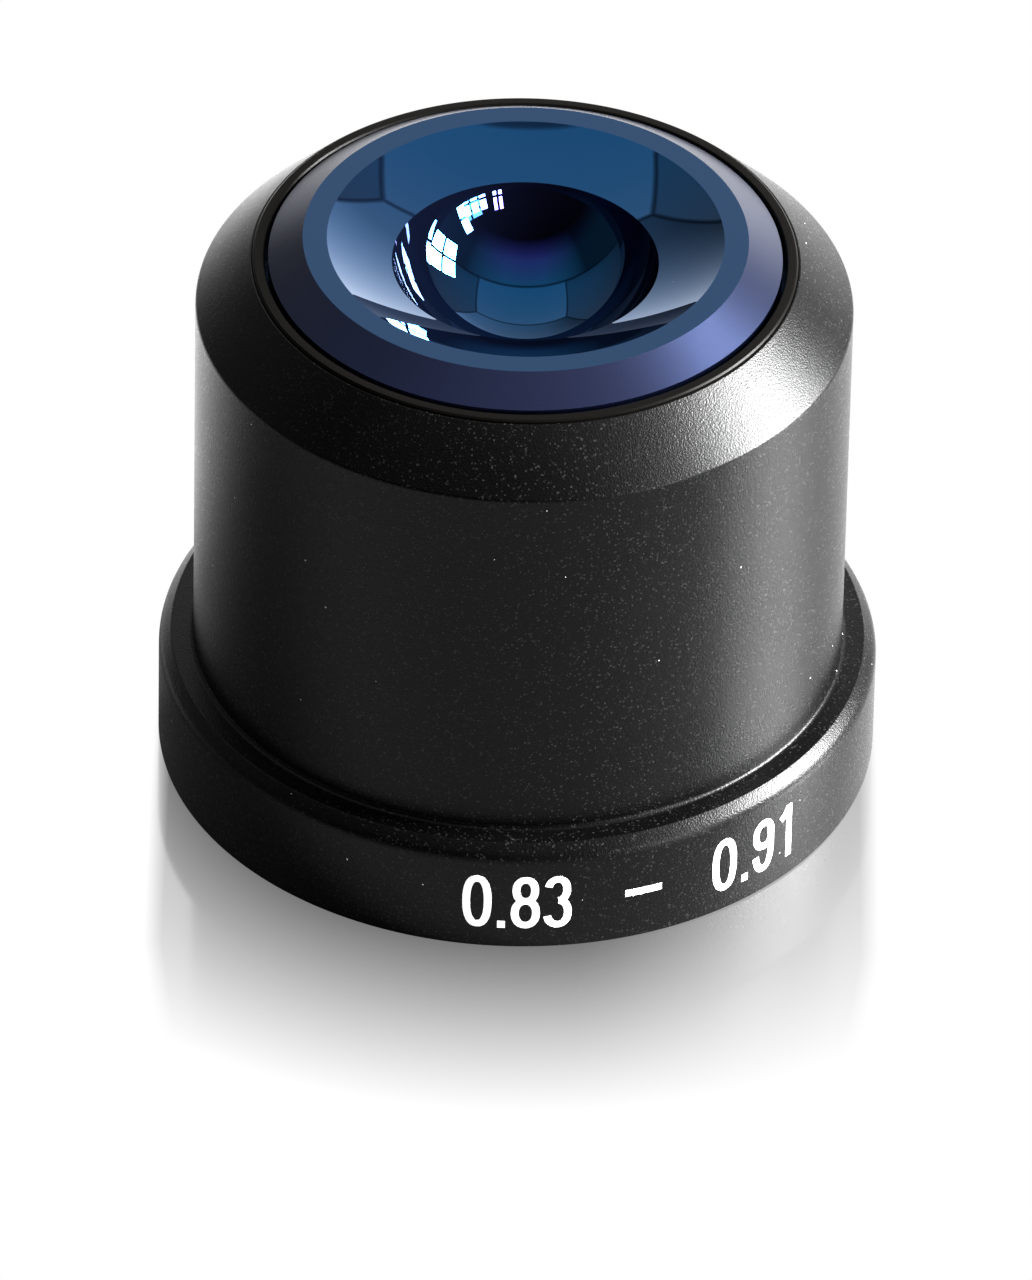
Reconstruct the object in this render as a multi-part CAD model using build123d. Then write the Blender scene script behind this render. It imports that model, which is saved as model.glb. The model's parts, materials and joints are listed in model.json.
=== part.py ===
from build123d import *
from math import acos, cos, hypot, radians, sin, sqrt, tan
import os

os.makedirs("parts", exist_ok=True)

# Dry dark field condenser head of a microscope, in millimetres.
# The origin is the centre of the flange's underside. +Z is the optical axis, towards the slide.
# Every section below is drawn as radius and height, and turned about that axis.

# Housing, a turned sleeve that slides into a 39.5 mm substage ring from below
barrel_diameter = 39.5
barrel_length = 24.6
barrel_wall = 2.3
flange_overhang = 2.1
flange_height = 7.4
flange_chamfer = 0.75
flange_round = 1.0
foot_chamfer = 0.1
corner_radius = 0.3
edge_radius = 0.35
cone_angle = 45.0
mouth_land = 0.1
shoulder_wall = 0.85

# Running clearance of a turned piece in its bore, and of a threaded ring on its crests
bore_clearance = 0.05

# Lens cell, whose rim is the dark ring round the glass
cell_wall = 1.35
lip_root = 0.4
rim_stand = 0.2
rim_gap = 0.25
rim_wall = 0.7
rim_edge = 0.1
cell_tail = 0.6

# Front glass, seen from above: bevel, flat land, shallow bowl and exit cavity
collar_step = 0.6
collar_thickness = 1.35
bevel_stand = 0.05
bevel_width = 2.05
bevel_angle = 33.4
land_width = 1.45
bowl_width = 3.9
bowl_drop = 1.7
bowl_radius = 25.9

# Optics: light that leaves between these apertures meets at a focus above the land
aperture_low = 0.83
aperture_high = 0.91
focus_height = 1.0
waist_relief = 0.85
joint_margin = 0.15
joint_bevel = 0.25
waist_points = 6

# Rear glass, with the mirrored hollow in its top
rear_land = 0.5
rear_edge = 0.45
rear_floor = 1.75
rear_margin = 1.7

# Pieces that stack below the front glass
seat_thickness = 0.15
sleeve_clearance = 0.2
sleeve_drop = 0.4
entrance_gap = 1.0
stop_thickness = 0.5
stop_clearance = 0.1
slit_margin = 0.1
web_width = 1.2
web_count = 3

# Cushion ring, the threaded rings and their spanner slots
cushion_section = 1.2
cushion_bite = 0.3
cushion_inset = 1.6
groove_play = 0.1
clamp_height = 3.0
clamp_width = 3.4
locking_height = 3.0
locking_width = 2.9
slot_width = 1.5
slot_depth = 1.0
slot_count = 4

# Ridged tube that lines the light well
baffle_wall = 1.1
baffle_clearance = 0.1
baffle_recess = 0.5
ridge_pitch = 1.6
ridge_depth = 0.8

# Radii, from the barrel inwards. The glass collar, its washers, the spacer sleeve and the clamp
# ring share the stack radius.
barrel_radius = barrel_diameter / 2
flange_radius = barrel_radius + flange_overhang
well_radius = barrel_radius - barrel_wall
cell_radius = well_radius - bore_clearance
cell_bore = cell_radius - cell_wall
stack_radius = cell_bore - bore_clearance
front_radius = stack_radius - collar_step
land_radius = front_radius - bevel_width
bowl_edge_radius = land_radius - land_width
cavity_edge_radius = bowl_edge_radius - bowl_width
rim_inner_radius = front_radius + rim_gap
rim_outer_radius = rim_inner_radius + rim_wall
mouth_radius = rim_outer_radius + bore_clearance
cone_top_radius = mouth_radius + mouth_land

# Heights, from the flange up to the focus
shoulder_z = flange_height + barrel_length
cone_slope = tan(radians(cone_angle))
cone_top_z = shoulder_z + (barrel_radius - cone_top_radius) * cone_slope
rim_top_z = cone_top_z + rim_stand
bevel_foot_z = rim_top_z + bevel_stand
land_z = bevel_foot_z + bevel_width * tan(radians(bevel_angle))
cavity_edge_z = land_z - bowl_drop
focus_z = land_z + focus_height
cavity_radius = hypot(cavity_edge_radius, focus_z - cavity_edge_z)

# Heights of the cell's shoulder, its lip and the glass collar under the lip
cell_shoulder_z = cone_top_z - (well_radius + shoulder_wall - cone_top_radius) * cone_slope
lip_z = cell_shoulder_z - lip_root
collar_top_z = lip_z - seat_thickness
collar_bottom_z = collar_top_z - collar_thickness
sleeve_top_z = collar_bottom_z - seat_thickness

# A sphere of radius f, centred f / 2 below the focus, throws the light out to the side wall of
# the front glass. That wall is a cardioid turned about the axis, f (1 + cos u) from the focus
# at the angle u, and it sends the light up to the focus. The wall is widest at 60 degrees.
widest = (1 + cos(radians(60))) * sin(radians(60))
waist_radius = front_radius - waist_relief
focal_length = waist_radius / widest
mirror_centre_z = focus_z - focal_length / 2
mirror_bottom_z = mirror_centre_z - focal_length
mirror_high_z = mirror_centre_z - focal_length * sqrt(1 - aperture_high**2)
joint_z = mirror_high_z + joint_margin
mirror_edge_radius = sqrt(focal_length**2 - (mirror_centre_z - joint_z) ** 2)
rear_joint_radius = waist_radius - rear_land
rear_body_radius = focal_length * aperture_high + rear_margin
flank_top_z = joint_z - rear_edge
flank_bottom_z = flank_top_z - (rear_joint_radius - rear_body_radius)
entrance_z = mirror_bottom_z - rear_floor

# Heights of the stack below the glass, down to the flange's underside
sleeve_upper_bore = waist_radius + sleeve_clearance
sleeve_lower_bore = rear_body_radius + sleeve_clearance
sleeve_bottom_z = entrance_z - entrance_gap
stop_bottom_z = sleeve_bottom_z - stop_thickness
clamp_top_z = stop_bottom_z - cushion_bite
clamp_bottom_z = clamp_top_z - clamp_height
cell_bottom_z = clamp_bottom_z - cell_tail
locking_bottom_z = cell_bottom_z - locking_height
cushion_radius = cell_bore - cushion_inset


def turned(*edges):
    """Turn a closed section, drawn as radius and height, about the optical axis."""
    section = make_face(Wire(list(edges)))
    return revolve(Plane.XZ * section, Axis.Z)


def turned_outline(points):
    """Turn a closed section with straight sides."""
    return turned(*Polyline(*points, close=True).edges())


def cut_spanner_slots(ring, inner, outer, bottom):
    """Cut slots across the lower face of a ring, for the pins of a ring spanner."""
    middle = (inner + outer) / 2
    length = (outer - inner) * 2
    cutter = Pos(0, 0, bottom) * Box(length, slot_width, slot_depth * 2)
    for place in PolarLocations(middle, slot_count):
        ring -= place * cutter
    return ring


def cardioid_point(height):
    """Point of the front glass's side wall at a height."""
    drop = (focus_z - height) / focal_length
    cosine = (sqrt(1 + 4 * drop) - 1) / 2
    angle = acos(cosine)
    return (focal_length * (1 + cosine) * sin(angle), height)


def sagitta_point(start, end, radius):
    """Middle of the arc of a radius from start to end that bulges down and outwards."""
    chord_x = end[0] - start[0]
    chord_z = end[1] - start[1]
    chord = hypot(chord_x, chord_z)
    bulge = radius - sqrt(radius**2 - chord**2 / 4)
    middle = ((start[0] + end[0]) / 2, (start[1] + end[1]) / 2)
    return (middle[0] + bulge * chord_z / chord, middle[1] - bulge * chord_x / chord)


def make_housing():
    """Flange, barrel and cone in one piece, bored right through."""
    corners = [
        ((mouth_radius, cone_top_z), 0),
        ((mouth_radius, cell_shoulder_z), 0),
        ((well_radius, cell_shoulder_z), 0),
        ((well_radius, foot_chamfer), 0),
        ((well_radius + foot_chamfer, 0), 0),
        ((flange_radius - foot_chamfer, 0), 0),
        ((flange_radius, foot_chamfer), 0),
        ((flange_radius, flange_height - flange_chamfer), flange_round),
        ((flange_radius - flange_chamfer, flange_height), 0),
        ((barrel_radius, flange_height), corner_radius),
        ((barrel_radius, shoulder_z), edge_radius),
        ((cone_top_radius, cone_top_z), 0),
    ]
    points = [point for point, radius in corners]
    radii = [radius for point, radius in corners]
    return turned(*FilletPolyline(*points, radius=radii, close=True).edges())


def make_lens_cell():
    """Tube that holds the glasses against a lip under its rim."""
    return turned_outline(
        [
            (cell_bore, cell_bottom_z),
            (cell_radius, cell_bottom_z),
            (cell_radius, cell_shoulder_z),
            (rim_outer_radius, cell_shoulder_z),
            (rim_outer_radius, rim_top_z - rim_edge),
            (rim_outer_radius - rim_edge, rim_top_z),
            (rim_inner_radius + rim_edge, rim_top_z),
            (rim_inner_radius, rim_top_z - rim_edge),
            (rim_inner_radius, lip_z),
            (cell_bore, lip_z),
        ]
    )


def make_front_glass():
    """Cardioid glass with the exit cavity in its top."""
    cavity_bottom = (0, focus_z - cavity_radius)
    cavity_edge = (cavity_edge_radius, cavity_edge_z)
    half_angle = acos((focus_z - cavity_edge_z) / cavity_radius) / 2
    cavity_middle = (cavity_radius * sin(half_angle), focus_z - cavity_radius * cos(half_angle))
    bowl_edge = (bowl_edge_radius, land_z)
    bowl_middle = sagitta_point(cavity_edge, bowl_edge, bowl_radius)

    wall_foot_z = joint_z + joint_bevel
    wall_step = (collar_bottom_z - wall_foot_z) / (waist_points - 1)
    wall = [cardioid_point(wall_foot_z + wall_step * i) for i in range(waist_points)]

    top = Polyline(
        bowl_edge,
        (land_radius, land_z),
        (front_radius, bevel_foot_z),
        (front_radius, collar_top_z),
        (stack_radius, collar_top_z),
        (stack_radius, collar_bottom_z),
        wall[-1],
    )
    foot = Polyline(
        wall[0],
        (wall[0][0] - joint_bevel, joint_z),
        (0, joint_z),
        cavity_bottom,
    )
    return turned(
        ThreePointArc(cavity_bottom, cavity_middle, cavity_edge),
        ThreePointArc(cavity_edge, bowl_middle, bowl_edge),
        *top.edges(),
        Spline(*reversed(wall)),
        *foot.edges(),
    )


def make_rear_glass():
    """Glass cemented below the front one, with a silvered hollow in its top."""
    hollow_bottom = (0, mirror_bottom_z)
    hollow_edge = (mirror_edge_radius, joint_z)
    half_angle = acos((mirror_centre_z - joint_z) / focal_length) / 2
    hollow_middle = (focal_length * sin(half_angle), mirror_centre_z - focal_length * cos(half_angle))
    outside = Polyline(
        hollow_edge,
        (rear_joint_radius, joint_z),
        (rear_joint_radius, flank_top_z),
        (rear_body_radius, flank_bottom_z),
        (rear_body_radius, entrance_z),
        (0, entrance_z),
        hollow_bottom,
    )
    return turned(ThreePointArc(hollow_bottom, hollow_middle, hollow_edge), *outside.edges())


def make_seat(inner, top_z):
    """Thin soft washer on one face of the glass collar."""
    bottom_z = top_z - seat_thickness
    return turned_outline(
        [(inner, bottom_z), (stack_radius, bottom_z), (stack_radius, top_z), (inner, top_z)]
    )


def make_spacer_sleeve():
    """Sleeve that carries the glass collar and shades the rear glass."""
    flank_offset = flank_top_z - rear_joint_radius - sleeve_drop
    return turned_outline(
        [
            (sleeve_lower_bore, sleeve_bottom_z),
            (stack_radius, sleeve_bottom_z),
            (stack_radius, sleeve_top_z),
            (sleeve_upper_bore, sleeve_top_z),
            (sleeve_upper_bore, flank_offset + sleeve_upper_bore),
            (sleeve_lower_bore, flank_offset + sleeve_lower_bore),
        ]
    )


def make_annular_stop():
    """Plate with a narrow ring of light, whose middle hangs on webs."""
    slit_inner = focal_length * aperture_low - slit_margin
    slit_outer = focal_length * aperture_high + slit_margin
    plate = Circle(cell_bore - stop_clearance) - Circle(slit_outer) + Circle(slit_inner)
    web_length = (slit_outer - slit_inner) * 2
    for place in PolarLocations((slit_inner + slit_outer) / 2, web_count, 90):
        plate += place * Rectangle(web_length, web_width)
    return extrude(Plane.XY.offset(stop_bottom_z) * plate, stop_thickness)


def make_cushion_ring():
    """Rubber ring that presses the stack up without straining the glass."""
    return Pos(0, 0, stop_bottom_z - cushion_section / 2) * Torus(cushion_radius, cushion_section / 2)


def make_clamp_ring():
    """Threaded ring in the cell, with a groove for the cushion ring."""
    inner = stack_radius - clamp_width
    groove_half = cushion_section / 2 + groove_play
    groove_bottom = stop_bottom_z - cushion_section
    ring = turned_outline(
        [
            (inner, clamp_bottom_z),
            (stack_radius, clamp_bottom_z),
            (stack_radius, clamp_top_z),
            (cushion_radius + groove_half, clamp_top_z),
            (cushion_radius + groove_half, groove_bottom),
            (cushion_radius - groove_half, groove_bottom),
            (cushion_radius - groove_half, clamp_top_z),
            (inner, clamp_top_z),
        ]
    )
    return cut_spanner_slots(ring, inner, stack_radius, clamp_bottom_z)


def make_locking_ring():
    """Threaded ring in the housing that holds the cell up against its shoulder."""
    inner = cell_radius - locking_width
    ring = turned_outline(
        [
            (inner, locking_bottom_z),
            (cell_radius, locking_bottom_z),
            (cell_radius, cell_bottom_z),
            (inner, cell_bottom_z),
        ]
    )
    return cut_spanner_slots(ring, inner, cell_radius, locking_bottom_z)


def make_baffle_tube():
    """Tube with ridges that swallow stray light in the well."""
    outer = well_radius - baffle_clearance
    inner = outer - baffle_wall
    length = locking_bottom_z - baffle_recess
    ridges = int(length / ridge_pitch) - 1
    first = baffle_recess + (length - ridges * ridge_pitch) / 2
    points = [(inner, locking_bottom_z), (outer, locking_bottom_z)]
    points += [(outer, baffle_recess), (inner, baffle_recess)]
    for i in range(ridges):
        foot = first + i * ridge_pitch
        points += [(inner, foot), (inner - ridge_depth, foot + ridge_pitch / 2)]
    points.append((inner, first + ridges * ridge_pitch))
    tube = turned_outline(points)
    return cut_spanner_slots(tube, inner, outer, baffle_recess)


nodes = {
    "housing": make_housing(),
    "lens_cell": make_lens_cell(),
    "front_seat_washer": make_seat(rim_inner_radius, lip_z),
    "front_glass": make_front_glass(),
    "rear_glass": make_rear_glass(),
    "rear_seat_washer": make_seat(sleeve_upper_bore, collar_bottom_z),
    "spacer_sleeve": make_spacer_sleeve(),
    "annular_stop": make_annular_stop(),
    "cushion_ring": make_cushion_ring(),
    "clamp_ring": make_clamp_ring(),
    "cell_locking_ring": make_locking_ring(),
    "baffle_tube": make_baffle_tube(),
}

for name, solid in nodes.items():
    export_step(solid, f"parts/{name}.step")
    print(name, round(solid.volume, 1))
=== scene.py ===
# %% [markdown]
# # A dark-field condenser, dressed and lit
#
# The object is the head of a microscope's dark-field condenser: a black turned sleeve on a broad
# foot, with a blue-coated glass in its top. The solids come packed from the construction, in
# metres, with the optical axis along Z and the foot on the ground. This lesson adds what the
# solids lack: finely turned surfaces, blasted and coated finishes, painted numerals and a studio.

# %% Load the frame
import json
import math

import bpy
from mathutils import Matrix, Vector
from mathutils.geometry import delaunay_2d_cdt


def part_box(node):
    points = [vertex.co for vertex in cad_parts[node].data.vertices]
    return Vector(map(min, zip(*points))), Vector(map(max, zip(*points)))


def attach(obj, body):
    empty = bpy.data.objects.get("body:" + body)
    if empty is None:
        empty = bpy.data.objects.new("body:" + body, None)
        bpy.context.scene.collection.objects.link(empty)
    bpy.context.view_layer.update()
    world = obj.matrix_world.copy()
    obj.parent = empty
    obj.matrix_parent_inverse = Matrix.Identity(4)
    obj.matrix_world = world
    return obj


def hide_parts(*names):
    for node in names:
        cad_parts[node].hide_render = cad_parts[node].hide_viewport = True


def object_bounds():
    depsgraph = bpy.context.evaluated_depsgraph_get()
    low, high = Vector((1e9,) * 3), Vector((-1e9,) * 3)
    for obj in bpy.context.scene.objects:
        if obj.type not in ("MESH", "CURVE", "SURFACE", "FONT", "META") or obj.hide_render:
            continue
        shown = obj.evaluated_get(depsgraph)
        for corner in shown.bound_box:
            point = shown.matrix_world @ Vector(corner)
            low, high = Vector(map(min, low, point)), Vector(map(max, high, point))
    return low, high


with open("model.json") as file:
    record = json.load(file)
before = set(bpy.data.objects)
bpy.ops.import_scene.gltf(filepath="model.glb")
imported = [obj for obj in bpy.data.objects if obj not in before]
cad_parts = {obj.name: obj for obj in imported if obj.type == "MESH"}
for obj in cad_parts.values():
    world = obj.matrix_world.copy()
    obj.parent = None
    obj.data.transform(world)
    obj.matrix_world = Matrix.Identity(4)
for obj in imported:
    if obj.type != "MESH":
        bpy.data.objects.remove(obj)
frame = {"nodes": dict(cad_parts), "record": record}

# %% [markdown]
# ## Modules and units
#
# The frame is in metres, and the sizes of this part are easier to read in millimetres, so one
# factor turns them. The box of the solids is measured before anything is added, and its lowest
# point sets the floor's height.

MM = 0.001
cad_low, cad_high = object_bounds()
print("solids from", [round(v / MM, 2) for v in cad_low], "to", [round(v / MM, 2) for v in cad_high])

# %% [markdown]
# ## The camera
#
# The photograph was taken from far away through a long lens, so the barrel's sides stay almost
# parallel. A camera placed by eye would spoil every ellipse, so its pitch, roll, distance and
# lens were fitted to the edges of the sleeve. The long side of the picture sees the sensor width.

# %% Camera
CAMERA_PLACE = (-0.00009, -0.78985, 0.61563)
CAMERA_PITCH = math.radians(37.64)
CAMERA_ROLL = math.radians(1.19)
SENSOR = 36.0
FOCAL_PIXELS = 16371
LONG_SIDE_PIXELS = 1280

level = Vector((1, 0, 0))
forward = Vector((0, math.cos(CAMERA_PITCH), -math.sin(CAMERA_PITCH)))
upward = level.cross(forward)
right = level * math.cos(CAMERA_ROLL) + upward * math.sin(CAMERA_ROLL)
above = upward * math.cos(CAMERA_ROLL) - level * math.sin(CAMERA_ROLL)

lens = bpy.data.cameras.new("camera")
lens.sensor_width = SENSOR
lens.lens = SENSOR * FOCAL_PIXELS / LONG_SIDE_PIXELS
lens.clip_start = 0.01
camera = bpy.data.objects.new("camera", lens)
bpy.context.collection.objects.link(camera)
turn = Matrix((right, above, -forward)).transposed()
camera.matrix_world = Matrix.Translation(CAMERA_PLACE) @ turn.to_4x4()
bpy.context.scene.camera = camera
print("camera with a lens of", round(lens.lens), "mm")

# %% [markdown]
# ## Small helpers for node trees
#
# Every finish below is a tree of nodes. These helpers keep each step to one line: `node` adds a
# node and fills its sockets, and `maths` adds a Math node. A socket that gets another socket is
# linked, and one that gets a number or a colour just holds it.


# %% Node helpers
def fill(tree, socket, value):
    """Link a socket to another one, or give it a constant."""
    if isinstance(value, bpy.types.NodeSocket):
        tree.links.new(value, socket)
    elif value is not None:
        socket.default_value = value


def node(tree, kind, inputs=None, **settings):
    """Add a node, set its options and fill its inputs by name or number."""
    made = tree.nodes.new(kind)
    for name, value in settings.items():
        setattr(made, name, value)
    for key, value in (inputs or {}).items():
        fill(tree, made.inputs[key], value)
    return made


def maths(tree, operation, *values):
    """Result of a Math node."""
    made = node(tree, "ShaderNodeMath", dict(enumerate(values)), operation=operation)
    return made.outputs[0]


def spread(tree, value, low, high, to_low=0.0, to_high=1.0):
    """Value stretched from one range to another, and held inside it."""
    inputs = {"Value": value, "From Min": low, "From Max": high, "To Min": to_low, "To Max": to_high}
    return node(tree, "ShaderNodeMapRange", inputs).outputs["Result"]


def blend_colours(tree, factor, first, second):
    """Colour that goes from the first to the second with the factor."""
    mix = node(tree, "ShaderNodeMix", data_type="RGBA")
    fill(tree, mix.inputs["Factor"], factor)
    fill(tree, mix.inputs[6], first)
    fill(tree, mix.inputs[7], second)
    return mix.outputs[2]


def blend(tree, factor, first, second):
    """Value that goes from the first to the second with the factor."""
    mix = node(tree, "ShaderNodeMix", data_type="FLOAT")
    for number, value in ((0, factor), (2, first), (3, second)):
        fill(tree, mix.inputs[number], value)
    return mix.outputs[0]


def noise(tree, place, size, detail=2.0, roughness=0.5):
    """Noise whose spots are about a size in metres across."""
    inputs = {"Vector": place, "Scale": 1 / size, "Detail": detail, "Roughness": roughness}
    return node(tree, "ShaderNodeTexNoise", inputs).outputs["Fac"]


def new_group(name, inputs, outputs):
    """Empty shader group with named float sockets. Gives the tree and its two end nodes."""
    tree = bpy.data.node_groups.new(name, "ShaderNodeTree")
    for title, value in inputs.items():
        socket = tree.interface.new_socket(title, in_out="INPUT", socket_type="NodeSocketFloat")
        socket.default_value = value
    for title in outputs:
        tree.interface.new_socket(title, in_out="OUTPUT", socket_type="NodeSocketFloat")
    return tree, tree.nodes.new("NodeGroupInput").outputs, tree.nodes.new("NodeGroupOutput").inputs


def place_group(tree, group, **inputs):
    """Put a group in a material with values of its own, and give its outputs."""
    values = {title.replace("_", " ").capitalize(): value for title, value in inputs.items()}
    return node(tree, "ShaderNodeGroup", values, node_tree=group).outputs


def new_material(name):
    """Material with a Principled BSDF. Gives the material, its tree and the shader."""
    material = bpy.data.materials.new(name)
    material.use_nodes = True
    tree = material.node_tree
    return material, tree, tree.nodes["Principled BSDF"]


# %% [markdown]
# ## Finish group: blasted grain
#
# The sleeve was blasted with fine glass beads and then anodised black. Under a lamp each tiny dent
# shines or hides by itself, so the surface looks like fine dark sand. A single noise is too even
# for that. The height is a noise plus the soft hollows of finer Voronoi cells, and the random
# colour of each cell decides whether it sparkles. The group only puts out a height and masks, and
# every material chooses its own grain size.

# %% Blasted grain
FINER_CELLS = 1.4
HOLLOW_SHARE = 0.5
SPARKLE_SHARE = 0.2
CLOUD_SIZE = 0.009
grain, given, result = new_group(
    "blasted_grain", {"Grain": 0.00014, "Sparkle": 0.5}, ["Height", "Glint", "Tone"]
)
place = node(grain, "ShaderNodeTexCoord").outputs["Object"]
per_metre = maths(grain, "DIVIDE", 1.0, given["Grain"])
dents = node(
    grain, "ShaderNodeTexNoise",
    {"Vector": place, "Scale": per_metre, "Detail": 1.5, "Roughness": 0.6},
).outputs["Fac"]
finer = maths(grain, "MULTIPLY", per_metre, FINER_CELLS)
cells = node(grain, "ShaderNodeTexVoronoi", {"Vector": place, "Scale": finer})
shade = node(grain, "ShaderNodeSeparateColor", {0: cells.outputs["Color"]}).outputs[0]
sparkling_share = maths(grain, "MULTIPLY", given["Sparkle"], SPARKLE_SHARE)
threshold = maths(grain, "SUBTRACT", 1.0, sparkling_share)
sparkling = spread(grain, shade, threshold, 1.0)
cloud = noise(grain, place, CLOUD_SIZE, detail=3)
hollows = maths(grain, "MULTIPLY", cells.outputs["Distance"], HOLLOW_SHARE)
fill(grain, result["Height"], maths(grain, "ADD", dents, hollows))
fill(grain, result["Glint"], sparkling)
fill(grain, result["Tone"], spread(grain, cloud, 0.3, 0.7))
print("group", grain.name)

# %% [markdown]
# ## Finish group: turning marks
#
# The cell, the rings and the baffle come from a lathe, whose tool leaves very fine grooves round
# the axis. Rings of noise do that: a noise with one dimension is read along the radius plus the
# height, so the grooves run round flat faces and round bores alike.

# %% Turning marks
turning, given, result = new_group("turning_marks", {"Pitch": 0.00006}, ["Height", "Tone"])
place = node(turning, "ShaderNodeTexCoord").outputs["Object"]
parts = node(turning, "ShaderNodeSeparateXYZ", {0: place}).outputs
across = node(turning, "ShaderNodeCombineXYZ", {0: parts[0], 1: parts[1]}).outputs[0]
radius = node(turning, "ShaderNodeVectorMath", {0: across}, operation="LENGTH").outputs["Value"]
along = maths(turning, "ADD", radius, parts[2])
rings = node(
    turning, "ShaderNodeTexNoise",
    {"W": maths(turning, "DIVIDE", along, given["Pitch"]), "Scale": 1.0, "Detail": 2.0},
    noise_dimensions="1D",
).outputs["Fac"]
fill(turning, result["Height"], rings)
fill(turning, result["Tone"], spread(turning, rings, 0.35, 0.65))
print("group", turning.name)

# %% [markdown]
# ## Finish group: dust and handling
#
# Even a clean part has a few bright specks of dust and patches where fingers have left the
# surface a little smoother. Specks are the centres of sparse Voronoi cells, kept only where the
# cell's random colour is high. Handling is one slow noise.

# %% Dust and handling
SPECK_THRESHOLD = 0.55
TOUCH_SIZE = 0.014
handling, given, result = new_group(
    "dust_and_handling", {"Speck": 0.00006, "Spacing": 0.0012}, ["Dust", "Touch"]
)
place = node(handling, "ShaderNodeTexCoord").outputs["Object"]
per_metre = maths(handling, "DIVIDE", 1.0, given["Spacing"])
cells = node(handling, "ShaderNodeTexVoronoi", {"Vector": place, "Scale": per_metre})
reach = maths(handling, "MULTIPLY", given["Speck"], per_metre)
near = maths(handling, "LESS_THAN", cells.outputs["Distance"], reach)
chance = node(handling, "ShaderNodeSeparateColor", {0: cells.outputs["Color"]}).outputs[1]
kept = maths(handling, "GREATER_THAN", chance, SPECK_THRESHOLD)
fill(handling, result["Dust"], maths(handling, "MULTIPLY", near, kept))
touches = noise(handling, place, TOUCH_SIZE)
fill(handling, result["Touch"], spread(handling, touches, 0.35, 0.7))
print("group", handling.name)

# %% [markdown]
# ## Black anodised aluminium
#
# Anodising leaves a hard, clear oxide full of black dye. It reflects like a dielectric, so the
# metal slider stays at zero: the grey that we see is the sheen of the oxide, broken up by the
# blasted dents. Touched areas are slightly smoother, and single dents catch the light: they are
# smoother as well, and their glint is also painted into the base colour as a lighter grey.

# %% Black anodised material
DEEP_BLACK = (0.0003, 0.0003, 0.00033, 1)
PALER_BLACK = (0.0006, 0.0006, 0.00066, 1)
PAINTED_GLINT_GREY = (0.012, 0.012, 0.0125, 1)
DUST_GREY = (0.42, 0.42, 0.43, 1)
SATIN_ROUGHNESS = 0.34
TOUCHED_ROUGHNESS = 0.30
SPARKLE_POLISH = 0.15
OXIDE_IOR = 1.18

black_anodised, tree, shader = new_material("black_anodised")
blast = place_group(tree, grain, grain=0.00014, sparkle=0.4)
dust = place_group(tree, handling, speck=0.00005, spacing=0.0016)
deep = blend_colours(tree, blast["Tone"], DEEP_BLACK, PALER_BLACK)
# Painted glint: the sparkling cells get a lighter grey base colour, besides their lower roughness.
with_painted_glints = blend_colours(tree, blast["Glint"], deep, PAINTED_GLINT_GREY)
fill(tree, shader.inputs["Base Color"], blend_colours(tree, dust["Dust"], with_painted_glints, DUST_GREY))
base_roughness = spread(tree, dust["Touch"], 0.0, 1.0, SATIN_ROUGHNESS, TOUCHED_ROUGHNESS)
sharper = maths(tree, "MULTIPLY", blast["Glint"], SPARKLE_POLISH)
fill(tree, shader.inputs["Roughness"], maths(tree, "SUBTRACT", base_roughness, sharper))
shader.inputs["IOR"].default_value = OXIDE_IOR
dents = node(tree, "ShaderNodeBump", {"Height": blast["Height"], "Distance": 0.00002, "Strength": 0.8})
fill(tree, shader.inputs["Normal"], dents.outputs["Normal"])
print("material", black_anodised.name)

# %% [markdown]
# ## Turned black finishes
#
# The cell is anodised without blasting, so its rim is matt, a little brown and marked by the
# lathe. The threaded rings and the stop are brass, blackened in a bath: half metal, and a warm
# brown where the tool marks are high. One function makes both from their own numbers.


# %% Turned materials
ROUGHNESS_SWING = 0.05
BLAST_SHARE = 0.7


def turned_black(name, dark, light, roughness, pitch, ior, metal=0.0):
    """Matt black finish on a turned surface."""
    material, tree, shader = new_material(name)
    marks = place_group(tree, turning, pitch=pitch)
    blast = place_group(tree, grain, grain=0.00007, sparkle=0.3)
    fill(tree, shader.inputs["Base Color"], blend_colours(tree, marks["Tone"], dark, light))
    smoother, rougher = roughness - ROUGHNESS_SWING, roughness + ROUGHNESS_SWING
    uneven = spread(tree, blast["Tone"], 0.0, 1.0, smoother, rougher)
    fill(tree, shader.inputs["Roughness"], uneven)
    shader.inputs["Metallic"].default_value = metal
    shader.inputs["IOR"].default_value = ior
    blasted = maths(tree, "MULTIPLY", blast["Height"], BLAST_SHARE)
    both = maths(tree, "ADD", marks["Height"], blasted)
    bump = node(tree, "ShaderNodeBump", {"Height": both, "Distance": 0.000005, "Strength": 0.7})
    fill(tree, shader.inputs["Normal"], bump.outputs["Normal"])
    return material


RIM_BLACK, RIM_BROWN = (0.001, 0.0009, 0.0008, 1), (0.002, 0.0018, 0.0015, 1)
BATH_BLACK, BATH_BROWN = (0.02, 0.017, 0.014, 1), (0.06, 0.048, 0.032, 1)
cell_anodised = turned_black(
    "cell_anodised", RIM_BLACK, RIM_BROWN, roughness=0.3, pitch=0.00006, ior=1.1
)
blackened_brass = turned_black(
    "blackened_brass", BATH_BLACK, BATH_BROWN, roughness=0.38, pitch=0.00009, ior=1.5, metal=0.6
)
print("materials", cell_anodised.name, blackened_brass.name)

# %% [markdown]
# ## Coated glass
#
# The glass is polished and carries a blue coating, and behind it everything is black: the light
# paths inside are closed by the stop. Real refraction would cost time and show nothing, so the
# glass is a black body under a strong, blue reflection. A thin coating changes its colour with
# the angle, so Layer Weight swings the tint from violet, seen squarely, to teal, seen aslant. At
# a grazing angle the reflection turns white by itself, as it should. The bevel round the top is
# ground, not polished, so its reflection is wide and milky.


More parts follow.
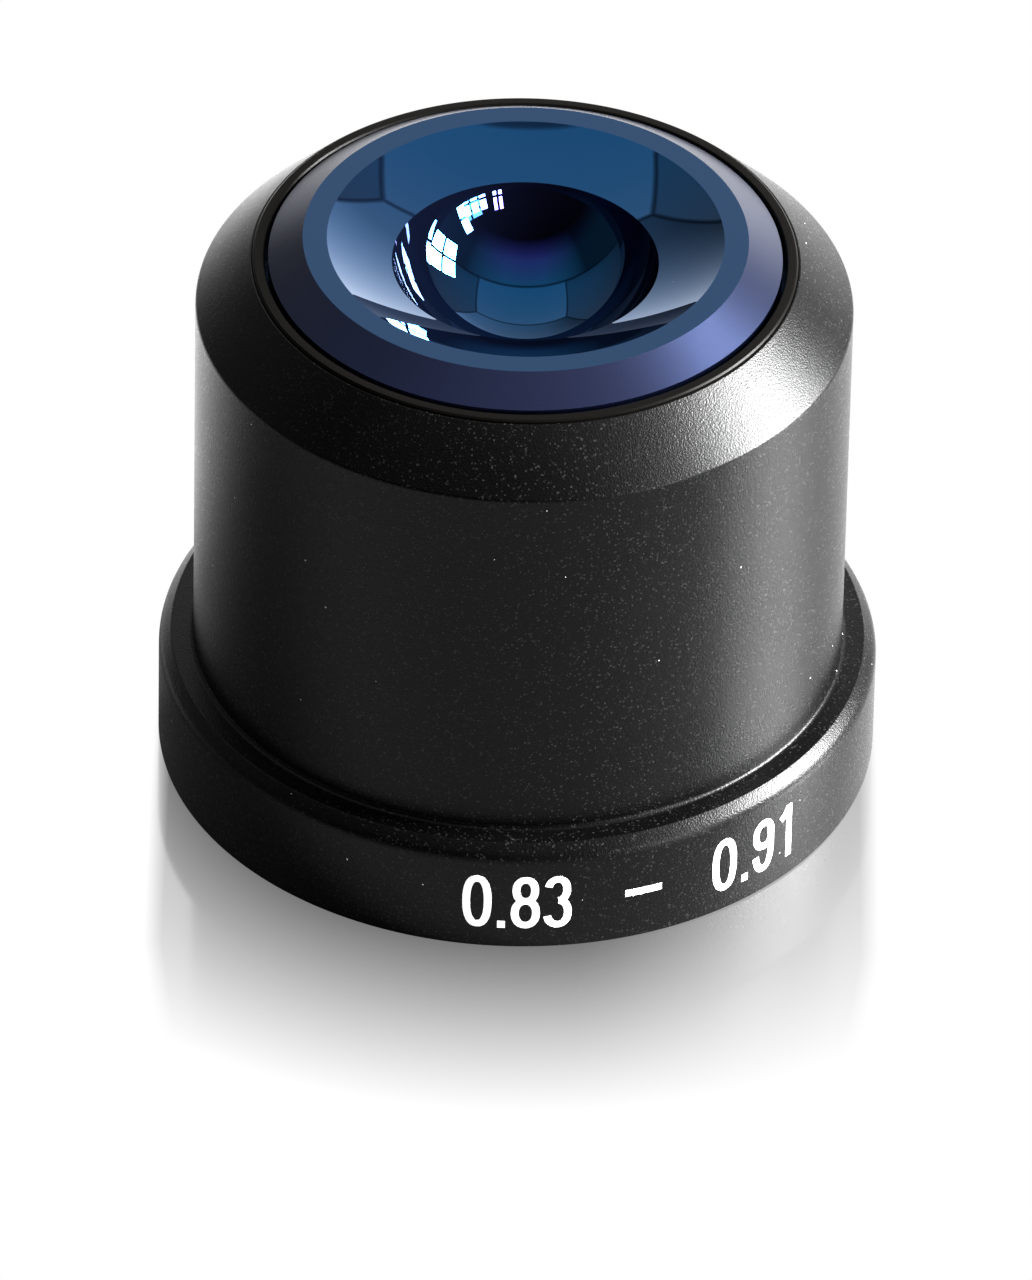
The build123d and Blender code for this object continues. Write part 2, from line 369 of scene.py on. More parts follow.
# %% Glass materials
SQUARE_TINT = (0.10, 0.13, 0.95, 1)
SLANT_TINT = (0.04, 0.38, 1.0, 1)
GROUND_TINT = (0.24, 0.38, 1.0, 1)
POLISHED_BODY = (0.0003, 0.0006, 0.002, 1)
GROUND_BODY = (0.0007, 0.001, 0.0025, 1)
GLASS_DUST = (0.2, 0.22, 0.25, 1)
TOUCH_SMEAR = 1.15
SWING_START, SWING_END = 0.02, 0.1


def coated_glass(name, tint, roughness, body, ior):
    """Black glass under a coloured reflection."""
    material, tree, shader = new_material(name)
    dust = place_group(tree, handling, speck=0.00003, spacing=0.0021)
    fill(tree, shader.inputs["Base Color"], blend_colours(tree, dust["Dust"], body, GLASS_DUST))
    uneven = spread(tree, dust["Touch"], 0.0, 1.0, roughness, roughness * TOUCH_SMEAR)
    fill(tree, shader.inputs["Roughness"], uneven)
    shader.inputs["IOR"].default_value = ior
    shader.inputs["Specular Tint"].default_value = tint
    return material, tree, shader


polished, tree, shader = coated_glass("coated_glass", SLANT_TINT, 0.012, POLISHED_BODY, ior=2.05)
facing = node(tree, "ShaderNodeLayerWeight", {"Blend": 0.5}).outputs["Facing"]
swing = spread(tree, facing, SWING_START, SWING_END)
fill(tree, shader.inputs["Specular Tint"], blend_colours(tree, swing, SQUARE_TINT, SLANT_TINT))
ground, tree, shader = coated_glass("ground_glass", GROUND_TINT, 0.27, GROUND_BODY, ior=1.48)
frost = place_group(tree, grain, grain=0.00009, sparkle=0.4)
bump = node(tree, "ShaderNodeBump", {"Height": frost["Height"], "Distance": 0.000006, "Strength": 0.6})
fill(tree, shader.inputs["Normal"], bump.outputs["Normal"])
print("materials", polished.name, ground.name)

# %% [markdown]
# ## Finishes below and inside
#
# Few of these show, but the part can be turned over. The seats are thin plastic washers, the
# cushion is rubber, and the rear glass is silvered. The numerals are thick white screen ink.


# %% Plain inner materials
def simple_finish(name, colour, other, roughness, size, metal=0.0):
    """Finish with slow mottling of its colour and a fine grain."""
    material, tree, shader = new_material(name)
    blast = place_group(tree, grain, grain=size, sparkle=0.2)
    fill(tree, shader.inputs["Base Color"], blend_colours(tree, blast["Tone"], colour, other))
    uneven = spread(tree, blast["Height"], 0, 1.6, roughness, roughness + 0.08)
    fill(tree, shader.inputs["Roughness"], uneven)
    shader.inputs["Metallic"].default_value = metal
    bump = node(tree, "ShaderNodeBump", {"Height": blast["Height"], "Distance": size / 20})
    fill(tree, shader.inputs["Normal"], bump.outputs["Normal"])
    return material


seat_plastic = simple_finish(
    "seat_plastic", (0.8, 0.8, 0.77, 1), (0.85, 0.85, 0.82, 1), roughness=0.5, size=0.0001
)
cushion_rubber = simple_finish(
    "cushion_rubber", (0.02, 0.02, 0.02, 1), (0.03, 0.03, 0.03, 1), roughness=0.7, size=0.00008
)
silvered = simple_finish(
    "silvered_glass", (0.62, 0.63, 0.65, 1), (0.7, 0.71, 0.72, 1), roughness=0.08, size=0.0004, metal=1.0
)
white_ink = simple_finish(
    "white_ink", (0.86, 0.86, 0.86, 1), (0.95, 0.95, 0.95, 1), roughness=0.45, size=0.00009
)
print("inner finishes and the ink")

# %% [markdown]
# ## Turned surfaces
#
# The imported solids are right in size, but their meshes are coarse, and a mirror-smooth bowl shows
# every facet. Each visible turned piece is therefore turned again here: a closed outline in
# radius and height is carried round the axis. Corners get small rounds, because a real edge is
# never perfectly sharp and its round catches a thin line of light.


# %% Lathe helpers
def arc_points(centre, start, end, steps):
    """Points on the shorter arc about a centre, from start to end."""
    first = Vector(start) - Vector(centre)
    swing = first.angle_signed(Vector(end) - Vector(centre))
    points = []
    for i in range(steps + 1):
        angle = -swing * i / steps
        turned = Matrix.Rotation(angle, 2) @ first
        points.append(Vector(centre) + turned)
    return points


def rounded(corners, steps=5):
    """Closed outline from corners of radius, height and size of round."""
    points = []
    for i, (r, z, size) in enumerate(corners):
        here = Vector((r, z))
        before = (Vector(corners[i - 1][:2]) - here).normalized()
        after = (Vector(corners[(i + 1) % len(corners)][:2]) - here).normalized()
        if size == 0:
            points.append(here)
            continue
        half = before.angle(after) / 2
        middle = here + (before + after).normalized() * size / math.sin(half)
        reach = size / math.tan(half)
        points += arc_points(middle, here + before * reach, here + after * reach, steps)
    return points


def turn_outline(name, outline, materials, zones=None, segments=256):
    """Mesh object of a closed outline in millimetres, turned about the axis."""
    vertices = []
    rings = []
    for r, z in outline:
        if r < 1e-6:
            rings.append([len(vertices)] * segments)
            vertices.append((0, 0, z * MM))
            continue
        rings.append(range(len(vertices), len(vertices) + segments))
        for k in range(segments):
            angle = 2 * math.pi * k / segments
            vertices.append((r * MM * math.cos(angle), r * MM * math.sin(angle), z * MM))
    faces = []
    slots = []
    for i, ring in enumerate(rings):
        following = rings[(i + 1) % len(rings)]
        if outline[i][0] < 1e-6 and outline[(i + 1) % len(rings)][0] < 1e-6:
            continue
        for k in range(segments):
            n = (k + 1) % segments
            corners = [ring[k], ring[n], following[n], following[k]]
            faces.append(list(dict.fromkeys(corners)))
            slots.append(zones[i] if zones else 0)
    mesh = bpy.data.meshes.new(name)
    mesh.from_pydata(vertices, [], faces)
    for material in materials:
        mesh.materials.append(material)
    mesh.polygons.foreach_set("material_index", slots)
    mesh.set_sharp_from_angle(angle=math.radians(20))
    mesh.update()
    piece = bpy.data.objects.new(name, mesh)
    bpy.context.collection.objects.link(piece)
    print(name, "has", len(faces), "faces")
    return piece


# %% [markdown]
# ## Housing
#
# One turned piece: foot, flange, barrel and cone, bored right through. Its radii and heights come
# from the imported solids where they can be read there, and the small rounds were judged from the
# width of the light on each edge.

# %% Housing
housing_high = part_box("housing")[1] / MM
cell_low, cell_high = (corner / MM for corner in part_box("lens_cell"))
FLANGE_OVERHANG = 2.1
FLANGE_HEIGHT = 7.4
FLANGE_CHAMFER = 0.75
FLANGE_ROUND = 1.0
FOOT_CHAMFER = 0.1
FOOT_ROUND = 0.03
BARREL_WALL = 2.3
BARREL_ROOT_ROUND = 0.3
SHOULDER_ROUND = 0.35
CHAMFER_ROUND = 0.12
CONE_EDGE_ROUND = 0.04
MOUTH_ROUND = 0.02
MOUTH_LAND = 0.1
SHOULDER_WALL = 0.85
SHOULDER_HEIGHT = 32.0
RUNNING_CLEARANCE = 0.05

flange_radius = housing_high.x
barrel_radius = flange_radius - FLANGE_OVERHANG
well_radius = barrel_radius - BARREL_WALL
cone_top = housing_high.z
cone_top_radius = barrel_radius - (cone_top - SHOULDER_HEIGHT)
mouth_radius = cone_top_radius - MOUTH_LAND
cell_shoulder = cone_top - (well_radius + SHOULDER_WALL - cone_top_radius)
housing_outline = rounded([
    (mouth_radius, cone_top, MOUTH_ROUND),
    (mouth_radius, cell_shoulder, 0),
    (well_radius, cell_shoulder, 0),
    (well_radius, FOOT_CHAMFER, FOOT_ROUND),
    (well_radius + FOOT_CHAMFER, 0, FOOT_ROUND),
    (flange_radius - FOOT_CHAMFER, 0, FOOT_ROUND),
    (flange_radius, FOOT_CHAMFER, FOOT_ROUND),
    (flange_radius, FLANGE_HEIGHT - FLANGE_CHAMFER, FLANGE_ROUND),
    (flange_radius - FLANGE_CHAMFER, FLANGE_HEIGHT, CHAMFER_ROUND),
    (barrel_radius, FLANGE_HEIGHT, BARREL_ROOT_ROUND),
    (barrel_radius, SHOULDER_HEIGHT, SHOULDER_ROUND),
    (cone_top_radius, cone_top, CONE_EDGE_ROUND),
])
housing = turn_outline("housing_turned", housing_outline, [black_anodised])
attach(housing, "root")
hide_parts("housing")

# %% [markdown]
# ## Lens cell
#
# Only its rim shows, as the dark ring round the glass. It stands a little above the cone, and a
# narrow black gap on each side of it gives the top its crisp double line.

# %% Lens cell
RIM_GAP = 0.25
RIM_WALL = 0.7
RIM_EDGE = 0.1
RIM_ROUND = 0.03
CELL_ROUND = 0.05
CELL_WALL = 1.35
LIP_ROOT = 0.4

rim_outer = mouth_radius - RUNNING_CLEARANCE
rim_inner = rim_outer - RIM_WALL
cell_radius = cell_high.x
cell_bore = cell_radius - CELL_WALL
lip_height = cell_shoulder - LIP_ROOT
rim_top = cell_high.z
cell_outline = rounded([
    (cell_bore, cell_low.z, CELL_ROUND),
    (cell_radius, cell_low.z, CELL_ROUND),
    (cell_radius, cell_shoulder, 0),
    (rim_outer, cell_shoulder, 0),
    (rim_outer, rim_top - RIM_EDGE, RIM_ROUND),
    (rim_outer - RIM_EDGE, rim_top, RIM_ROUND),
    (rim_inner + RIM_EDGE, rim_top, RIM_ROUND),
    (rim_inner, rim_top - RIM_EDGE, RIM_ROUND),
    (rim_inner, lip_height, 0),
    (cell_bore, lip_height, 0),
])
cell = turn_outline("lens_cell_turned", cell_outline, [cell_anodised])
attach(cell, "root")
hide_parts("lens_cell")

# %% [markdown]
# ## Front glass
#
# From outside to inside the top has a ground bevel, a flat polished land, a shallow bowl and the
# deep exit cavity, a sphere about the focus. Each zone is an arc or a straight line, so its
# reflections come out as clean as the real ones. Below the collar the side wall is a cardioid,
# written as its formula: f (1 + cos u) from the focus at the angle u. It is widest where u is 60
# degrees, and that width, which has to clear the cell, sets f.

# %% Front glass
glass_low, glass_high = (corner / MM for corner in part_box("front_glass"))
BEVEL_STAND = 0.05
BEVEL_WIDTH = 2.05
LAND_WIDTH = 1.45
BOWL_WIDTH = 3.9
BOWL_DROP = 1.7
BOWL_RADIUS = 25.9
FOCUS_HEIGHT = 1.0
COLLAR_THICKNESS = 1.35
SEAT_THICKNESS = 0.15
WAIST_RELIEF = 0.85
JOINT_BEVEL = 0.25

land = glass_high.z
stack_radius = glass_high.x
front_radius = rim_inner - RIM_GAP
land_radius = front_radius - BEVEL_WIDTH
bowl_edge = Vector((land_radius - LAND_WIDTH, land))
cavity_edge = Vector((bowl_edge.x - BOWL_WIDTH, land - BOWL_DROP))
focus = Vector((0, land + FOCUS_HEIGHT))
cavity_radius = (cavity_edge - focus).length
collar_top = lip_height - SEAT_THICKNESS
collar_bottom = collar_top - COLLAR_THICKNESS

WIDEST_ANGLE = math.radians(60)
widest = (1 + math.cos(WIDEST_ANGLE)) * math.sin(WIDEST_ANGLE)
focal_length = (front_radius - WAIST_RELIEF) / widest
joint = glass_low.z


def cardioid_wall(height):
    """Point of the glass's side wall at a height."""
    cosine = (math.sqrt(1 + 4 * (focus.y - height) / focal_length) - 1) / 2
    return Vector((focal_length * (1 + cosine) * math.sin(math.acos(cosine)), height))


chord = bowl_edge - cavity_edge
lift = math.sqrt(BOWL_RADIUS**2 - (chord.length / 2) ** 2)
bowl_centre = (bowl_edge + cavity_edge) / 2 + Vector((-chord.y, chord.x)).normalized() * lift
CAVITY_STEPS = 48
BOWL_STEPS = 24
WALL_STEPS = 12
cavity_bottom = focus - Vector((0, cavity_radius))
cavity = arc_points(focus, cavity_bottom, cavity_edge, CAVITY_STEPS)
bowl = arc_points(bowl_centre, cavity_edge, bowl_edge, BOWL_STEPS)[1:]
collar = [
    (land_radius, land), (front_radius, rim_top + BEVEL_STAND), (front_radius, collar_top),
    (stack_radius, collar_top), (stack_radius, collar_bottom),
]
wall_foot = joint + JOINT_BEVEL
wall_step = (collar_bottom - wall_foot) / WALL_STEPS
wall = [cardioid_wall(collar_bottom - wall_step * i) for i in range(WALL_STEPS + 1)]
foot = [(wall[-1].x - JOINT_BEVEL, joint), (0, joint)]
glass_outline = cavity + bowl + [Vector(p) for p in collar] + wall + [Vector(p) for p in foot]
polished_zones = len(cavity) + len(bowl)
zones = [0] * polished_zones + [1] + [0] * (len(glass_outline) - polished_zones - 1)
front_glass = turn_outline("front_glass_turned", glass_outline, [polished, ground], zones, segments=384)
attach(front_glass, "root")
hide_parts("front_glass")

# %% [markdown]
# ## Finishes for the solids that stay
#
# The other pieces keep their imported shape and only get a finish. The record says which material
# each of them has, so a table from its slots to our materials is enough.

# %% Finish the other solids
finishes = {
    "cell_anodised": cell_anodised,
    "blackened_brass": blackened_brass,
    "seat_plastic": seat_plastic,
    "cushion_rubber": cushion_rubber,
    "silvered_glass": silvered,
    "coated_glass": polished,
    "black_anodised": black_anodised,
}
for part in frame["record"]["subparts"]:
    solid = frame["nodes"][part["node"]]
    for slot in solid.material_slots:
        slot.material = finishes[part["material_slot"]]
print("finished", len(frame["nodes"]), "solids")

# %% [markdown]
# ## Painted numerals
#
# The range of the aperture is printed on the flange in white ink. Each sign is drawn with a pen
# of one width along straight runs and arcs, in millimetres from the sign's lower left corner. The
# pen's strokes are merged into one flat shape by a Delaunay triangulation.

# %% Pen strokes
SIGN_HEIGHT = 3.9
STROKE = 0.47
PEN_STEP = 0.12
half_stroke = STROKE / 2
tall = SIGN_HEIGHT - STROKE


def oval(x, y, half_width, half_height, start=0, sweep=360, power=2.4):
    """Squarish oval run, from the start angle, anticlockwise from the right."""
    count = max(8, int(abs(sweep) / 9))
    points = []
    for i in range(count + 1):
        angle = math.radians(start + sweep * i / count)
        c, s = math.cos(angle), math.sin(angle)
        points.append((
            x + half_width * math.copysign(abs(c) ** (2 / power), c),
            y + half_height * math.copysign(abs(s) ** (2 / power), s),
        ))
    return points


def straight(*corners):
    """Run of short steps through corners."""
    points = [corners[0]]
    for start, end in zip(corners, corners[1:]):
        count = max(1, round((Vector(end) - Vector(start)).length / PEN_STEP))
        points += [tuple(Vector(start).lerp(Vector(end), (i + 1) / count)) for i in range(count)]
    return points


low, high = half_stroke, half_stroke + tall
waist = low + tall * 0.53
upper, lower = (high + waist) / 2, (low + waist) / 2
middle = (low + high) / 2
signs = {
    "0": [oval(0.91, middle, 0.65, tall / 2)],
    ".": [straight((0.26, 0.0), (0.26, STROKE * 1.1))],
    "8": [
        oval(0.90, upper, 0.56, (high - waist) / 2, power=2.2),
        oval(0.90, lower, 0.64, (waist - low) / 2, power=2.2),
    ],
    "3": [
        oval(0.84, upper, 0.56, (high - waist) / 2, 165, -250, power=2.2),
        oval(0.84, lower, 0.63, (waist - low) / 2, 85, -250, power=2.2),
    ],
    "9": [
        oval(0.88, (high + waist - 0.14) / 2, 0.62, (high - waist + 0.14) / 2, power=2.2),
        oval(0.86, middle, 0.64, tall / 2, 0, -160),
        oval(0.86, middle, 0.64, tall / 2, 0, 40),
    ],
    "1": [
        straight((0.78, 0.0), (0.78, SIGN_HEIGHT)),
        straight((0.06, high - 0.62), (0.42, high - 0.36), (0.74, high + 0.1)),
    ],
    "-": [straight((0.0, SIGN_HEIGHT / 2), (2.34, SIGN_HEIGHT / 2))],
}
print("drew", len(signs), "signs")

# %% [markdown]
# ## Wrapping the ink round the flange
#
# Each word has a start on the flange, as an arc length from the front, and each of its signs has
# its own offset, since a printer sets them by eye. The ink has a face, thin walls and a root
# below the metal's surface. The photograph shows no mirror image of it in the floor, so it stays
# out of reflections, and so thin a layer needs no shadow.

# %% Wrap the signs round the flange
INK_THICKNESS = 0.02
INK_ROOT = 0.02
SIGN_FOOT = 1.5
lettering = [
    ("0.83", -3.02, [0, 2.12, 2.93, 4.92]),
    ("-", 6.9, [0]),
    ("0.91", 12.7, [0, 2.2, 3.06, 5.36]),
]


def ribbon_faces(points):
    """Corners of the quads that a pen of one width covers along a run."""
    sides = []
    for i, point in enumerate(points):
        before = Vector(points[max(i - 1, 0)])
        after = Vector(points[min(i + 1, len(points) - 1)])
        if i in (0, len(points) - 1) and points[0] == points[-1]:
            before, after = Vector(points[-2]), Vector(points[1])
        across = (after - before).normalized().orthogonal() * half_stroke
        sides.append((Vector(point) - across, Vector(point) + across))
    return [(a[0], b[0], b[1], a[1]) for a, b in zip(sides, sides[1:])]


def flat_sign(strokes):
    """Points and triangles of strokes merged into one flat shape."""
    points = []
    quads = []
    for stroke in strokes:
        for quad in ribbon_faces(stroke):
            quads.append(list(range(len(points), len(points) + 4)))
            points += quad
    merged = delaunay_2d_cdt(points, [], quads, 1, 1e-5)
    covered = [face for face, sources in zip(merged[2], merged[5]) if sources]
    return merged[0], covered


def wrapped(arc, height, radius):
    """Place on the flange of a point given by its arc length and height."""
    angle = arc / flange_radius
    return (radius * MM * math.sin(angle), -radius * MM * math.cos(angle), height * MM)


def ink_mesh(words):
    """Mesh of all signs, with a face on the surface and thin walls round it."""
    vertices = []
    faces = []
    for word, start, offsets in words:
        for sign, offset in zip(word, offsets):
            points, triangles = flat_sign(signs[sign])
            first = len(vertices)
            for radius in (flange_radius + INK_THICKNESS, flange_radius - INK_ROOT):
                vertices += [wrapped(start + offset + p.x, SIGN_FOOT + p.y, radius) for p in points]
            faces += [[first + v for v in face] for face in triangles]
            edges = [(f[i], f[(i + 1) % 3]) for f in triangles for i in range(3)]
            known = set(edges)
            open_edges = [(a, b) for a, b in edges if (b, a) not in known]
            below = first + len(points)
            faces += [[first + b, first + a, below + a, below + b] for a, b in open_edges]
    mesh = bpy.data.meshes.new("flange_numerals")
    mesh.from_pydata(vertices, [], faces)
    mesh.materials.append(white_ink)
    return mesh


numerals = bpy.data.objects.new("flange_numerals", ink_mesh(lettering))
bpy.context.collection.objects.link(numerals)
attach(numerals, "root")
numerals.visible_glossy = False
numerals.visible_shadow = False
print("numerals have", len(numerals.data.polygons), "faces")

# %% [markdown]
# ## Floor, as the part sees it
#
# The photograph stands the part on glossy white acrylic that fades into a white ground. A floor as
# bright as that would flood the black sleeve with light, so every ray but the camera's meets a
# darker, satin floor. It glows only in a strip behind the part, more on the left than on the
# right, and that gives the sleeve's sides their light rims.

# %% Floor for the light
DARK_FLOOR = 0.22
GLOW_LEFT = 1.7
GLOW_RIGHT = 0.35
floor_material, tree, shader = new_material("acrylic_floor")
place = node(tree, "ShaderNodeTexCoord").outputs["Object"]
across, along, _ = node(tree, "ShaderNodeSeparateXYZ", {0: place}).outputs
strip_start = spread(tree, along, 0.0, 0.05)
strip_end = spread(tree, along, 0.10, 0.13, 1.0, 0.0)
behind_it = maths(tree, "MULTIPLY", strip_start, strip_end)
strip_glow = spread(tree, across, 0.0, 0.03, GLOW_LEFT, GLOW_RIGHT)
shader.inputs["Base Color"].default_value = (DARK_FLOOR, DARK_FLOOR, DARK_FLOOR, 1)
shader.inputs["Roughness"].default_value = 0.3
shader.inputs["Emission Color"].default_value = (1, 1, 1, 1)
fill(tree, shader.inputs["Emission Strength"], maths(tree, "MULTIPLY", behind_it, strip_glow))
print("floor for the light")

# %% [markdown]
# ## Floor, as the camera sees it
#
# To the camera the floor is white. In front of the part it has a soft shade and a weak mirror
# image, and both fade out with the distance from the foot. The shade is as wide as the foot,
# grows a little narrower towards the camera and is lighter on the right, where the windows are.

# %% Floor for the camera
FLOOR_FADE = 15.5
SHADE = 0.7
SHADE_RIGHT = 0.62
SHADE_EDGE = (0.0210, 0.0221)
NARROWING = -0.12
MIRROR = 0.35
MIRROR_RIGHT = 0.1
distance = node(tree, "ShaderNodeVectorMath", {0: place}, operation="LENGTH").outputs["Value"]
fade_end = (flange_radius + FLOOR_FADE) * MM
fading = spread(tree, distance, flange_radius * MM, fade_end, 1.0, 0.0)
fading = maths(tree, "MULTIPLY", fading, spread(tree, along, -0.004, 0.004, 1.0, 0.0))
past_foot = maths(tree, "ADD", along, 0.022)
narrowing = maths(tree, "MAXIMUM", maths(tree, "MULTIPLY", past_foot, NARROWING), 0.0)
from_axis = maths(tree, "ADD", maths(tree, "ABSOLUTE", across), narrowing)
in_shade = spread(tree, from_axis, *SHADE_EDGE, 1.0, 0.0)
lighter_right = spread(tree, across, 0.004, 0.019, SHADE, SHADE * SHADE_RIGHT)
shade = maths(tree, "MULTIPLY", maths(tree, "MULTIPLY", in_shade, lighter_right), fading)
remaining = maths(tree, "SUBTRACT", 1.0, shade)
white = node(tree, "ShaderNodeEmission", {"Color": (1, 1, 1, 1), "Strength": remaining})
gloss = node(tree, "ShaderNodeBsdfGlossy", {"Color": (1, 1, 1, 1), "Roughness": 0.1})
weaker_right = spread(tree, across, 0.006, 0.016, MIRROR, MIRROR_RIGHT)
mirror = maths(tree, "MULTIPLY", maths(tree, "POWER", fading, 1.5), weaker_right)
seen = node(tree, "ShaderNodeMixShader", {0: mirror, 1: white.outputs[0], 2: gloss.outputs[0]})
print("floor for the camera")

# %% [markdown]
# ## Laying the floor
#
# The Light Path node tells the camera's rays from all others and picks one of the two floors.
# Seen from below the floor is clear, so that the underside stays in view.

# %% Lay the floor
FLOOR_REACH = 1.5
path = node(tree, "ShaderNodeLightPath").outputs
lighting = node(
    tree, "ShaderNodeMixShader",
    {0: path["Is Camera Ray"], 1: shader.outputs[0], 2: seen.outputs[0]},
)
clear = node(tree, "ShaderNodeBsdfTransparent")
behind = node(tree, "ShaderNodeNewGeometry").outputs["Backfacing"]
ends = node(tree, "ShaderNodeMixShader", {0: behind, 1: lighting.outputs[0], 2: clear.outputs[0]})
fill(tree, tree.nodes["Material Output"].inputs["Surface"], ends.outputs[0])

floor_mesh = bpy.data.meshes.new("floor")
corners = [(x * FLOOR_REACH, y * FLOOR_REACH, 0) for x, y in ((-1, -1), (1, -1), (1, 1), (-1, 1))]
floor_mesh.from_pydata(corners, [], [(0, 1, 2, 3)])
floor_mesh.materials.append(floor_material)
floor = bpy.data.objects.new("floor", floor_mesh)
floor.location.z = cad_low.z
bpy.context.collection.objects.link(floor)
print("floor reaches", FLOOR_REACH, "m")

# %% [markdown]
# ## Studio room
#
# Black gloss shows little else than what it reflects, and in the photograph the bowl reflects a
# bright room with a ceiling panel and dark seams. The world draws that room from the direction of
# a ray alone, as it looks from the middle of a box: a ray meets the wall for which its scaled
# component is the largest. The back wall is brightest low down and to the right, the side walls
# are dimmer, and in front of the ceiling panel a soft glow dies out to the sides and towards the
# camera.

# %% Walls and ceiling
ROOM_LEFT = -0.58
ROOM_RIGHT = 0.68
ROOM_BACK = 0.76
PANEL_FRONT = -0.02
PANEL_GLOW = 1.35
FRONT_GLOW = 1.05
BACK_WALL_LOW = 2.9
BACK_WALL_HIGH = 1.0
SIDE_WALL_LOW = 0.1
SIDE_WALL_HIGH = 0.85

world = bpy.data.worlds.new("studio")
bpy.context.scene.world = world
world.use_nodes = True
tree = world.node_tree
ray = node(tree, "ShaderNodeTexCoord").outputs["Generated"]
x, y, z = node(tree, "ShaderNodeSeparateXYZ", {0: ray}).outputs
to_right = maths(tree, "DIVIDE", x, ROOM_RIGHT)
to_side = maths(tree, "MAXIMUM", to_right, maths(tree, "DIVIDE", x, ROOM_LEFT))
to_back = maths(tree, "DIVIDE", y, ROOM_BACK)
nearer_wall = maths(tree, "MAXIMUM", to_side, to_back)
on_side = maths(tree, "GREATER_THAN", to_side, to_back)
on_ceiling = maths(tree, "GREATER_THAN", z, nearer_wall)

left_part = spread(tree, x, -0.55, -0.2, 0.12, 0.85)
right_part = spread(tree, x, -0.2, 0.4, 0.0, 0.48)
back_by_side = maths(tree, "ADD", left_part, right_part)
back_by_height = spread(tree, z, 0.0, 0.6, BACK_WALL_LOW, BACK_WALL_HIGH)
back_wall = maths(tree, "MULTIPLY", back_by_height, back_by_side)
side_by_height = spread(tree, z, 0.0, 1.0, SIDE_WALL_LOW, SIDE_WALL_HIGH)
side_wall = maths(tree, "MULTIPLY", side_by_height, spread(tree, y, -0.5, 0.1))
walls = blend(tree, on_side, back_wall, side_wall)
height = maths(tree, "MAXIMUM", z, 0.05)
over_y = maths(tree, "DIVIDE", y, height)
aside = maths(tree, "ABSOLUTE", maths(tree, "DIVIDE", x, height))
past_panel = maths(tree, "LESS_THAN", over_y, PANEL_FRONT)
towards_camera = spread(tree, y, -0.66, -0.40, 0.0, FRONT_GLOW)
glow = maths(tree, "MULTIPLY", towards_camera, spread(tree, aside, 0.25, 1.1, 1.0, 0.15))
room = blend(tree, past_panel, blend(tree, on_ceiling, walls, PANEL_GLOW), glow)
print("walls, ceiling panel and glow")

# %% [markdown]
# ## Seams of the room
#
# A seam lies where two walls are equally near, so it is found from the gap between the largest
# component and the next one. Another seam runs along the front edge of the ceiling panel, and
# in front of it there are none. The camera itself sees plain white instead of the room.

# %% Seams and the world's strength
SEAM = 0.03
SEAM_LIGHT = 0.3
corner = maths(tree, "MINIMUM", to_side, to_back)
second = maths(tree, "MAXIMUM", corner, maths(tree, "MINIMUM", nearer_wall, z))
corner_gap = maths(tree, "SUBTRACT", maths(tree, "MAXIMUM", nearer_wall, z), second)
corner_gap = maths(tree, "MAXIMUM", corner_gap, past_panel)
front_gap = maths(tree, "ABSOLUTE", maths(tree, "SUBTRACT", over_y, PANEL_FRONT))
gap = maths(tree, "MINIMUM", corner_gap, front_gap)
seams = spread(tree, gap, SEAM * 0.3, SEAM, SEAM_LIGHT, 1.0)
dim = maths(tree, "MULTIPLY", room, seams)
path = node(tree, "ShaderNodeLightPath").outputs
strength = blend(tree, path["Is Camera Ray"], dim, 1.0)
background = tree.nodes["Background"]
background.inputs["Color"].default_value = (1, 1, 1, 1)
fill(tree, background.inputs["Strength"], strength)
bpy.context.scene.view_settings.view_transform = "Standard"
print("studio surroundings")

# %% [markdown]
# ## Windows
#
# Daylight comes from tall windows on the right. Each window is a grid of area lights, one for each
# pane, so that the bars between the panes show in the polished cavity. The camera can't see the
# lights themselves, only their reflections. The cavity also shows windows that are too far off to
# light the sleeve. Those are glints: they shine on the glass alone, through light linking, and
# hang a little nearer than the other windows, so that no two panes lie in one plane. Their warm
# colour makes up for the blue coating, which would turn them cyan.

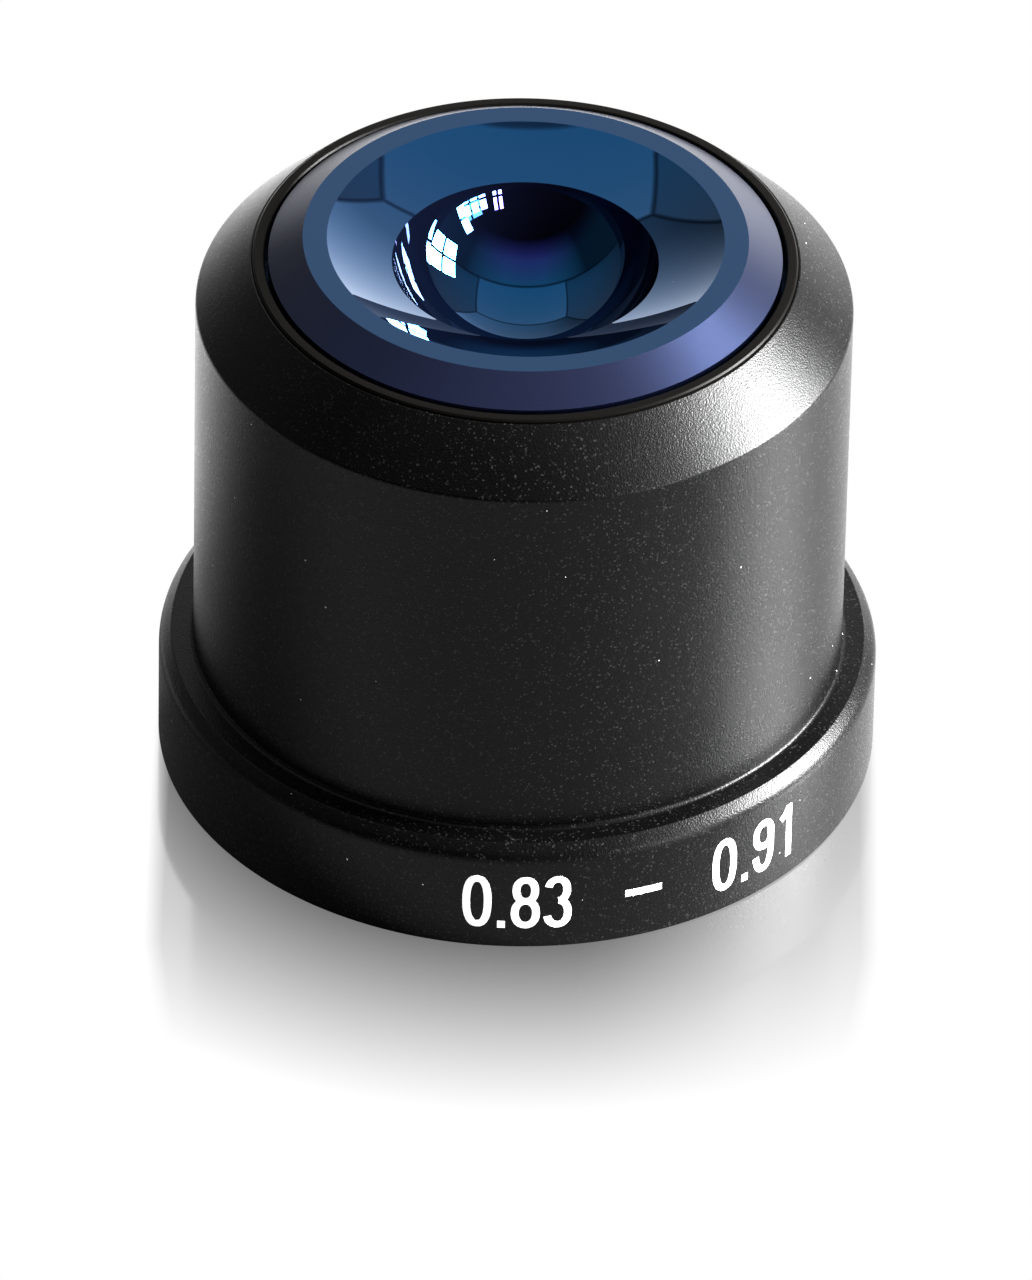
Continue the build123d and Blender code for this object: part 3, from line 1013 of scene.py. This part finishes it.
# %% Window helpers
MULLION = 0.034
GLINT_DISTANCE = 0.97
GLINT_COLOUR = (1, 0.5, 0.45)
glass_only = bpy.data.collections.new("glass_only")
glass_only.objects.link(front_glass)


def window(
    name, direction, width, height, columns, rows, radiance,
    roll=0.0, only=None, colour=(1, 1, 1), distance=1.0,
):
    """Panes of light round a direction, all facing the part, for every piece or only for some."""
    toward = Vector(direction).normalized()
    aim = toward.to_track_quat("Z", "Y").to_matrix().to_4x4() @ Matrix.Rotation(roll, 4, "Z")
    pane_width = (width - MULLION * (columns - 1)) / columns
    pane_height = (height - MULLION * (rows - 1)) / rows
    for column in range(columns):
        for row in range(rows):
            pane = bpy.data.lights.new(f"{name}_{column}_{row}", "AREA")
            pane.shape = "RECTANGLE"
            pane.size = pane_width
            pane.size_y = pane_height
            pane.color = colour
            pane.energy = radiance * math.pi * pane_width * pane_height
            light = bpy.data.objects.new(pane.name, pane)
            x = (column - (columns - 1) / 2) * (pane_width + MULLION)
            y = (row - (rows - 1) / 2) * (pane_height + MULLION)
            shift = Matrix.Translation((x, y, 0))
            light.matrix_world = Matrix.Translation(toward * distance) @ aim @ shift
            light.visible_camera = False
            light.light_linking.receiver_collection = only
            bpy.context.collection.objects.link(light)


def glint(name, direction, width, height, columns, rows, radiance):
    """Window that shines on the glass alone."""
    window(
        name, direction, width, height, columns, rows, radiance,
        only=glass_only, colour=GLINT_COLOUR, distance=GLINT_DISTANCE,
    )


# %% [markdown]
# ## Hanging the windows
#
# The large window on the right makes the bright patch on the cone and the light side of the
# barrel. A weak one nearer the camera lifts the front of the sleeve, and the glints stand where
# the photograph shows windows in the cavity. Sizes are in metres, about one metre from the part.

# %% Windows
window("right_window", (0.9, 0.04, 0.43), 0.44, 0.4, 2, 2, 350, roll=math.radians(15))
window("front_window", (0.72, -0.62, 0.24), 0.32, 0.34, 2, 3, 34)
glint("front_glint", (0.67, -0.69, 0.2), 0.34, 0.3, 3, 2, 300)
glint("tall_glint", (0.79, -0.52, 0.34), 0.11, 0.4, 1, 2, 300)
glint("side_glint", (0.40, -0.90, 0.22), 0.12, 0.38, 2, 2, 250)
print("windows with", len(bpy.data.lights), "panes")
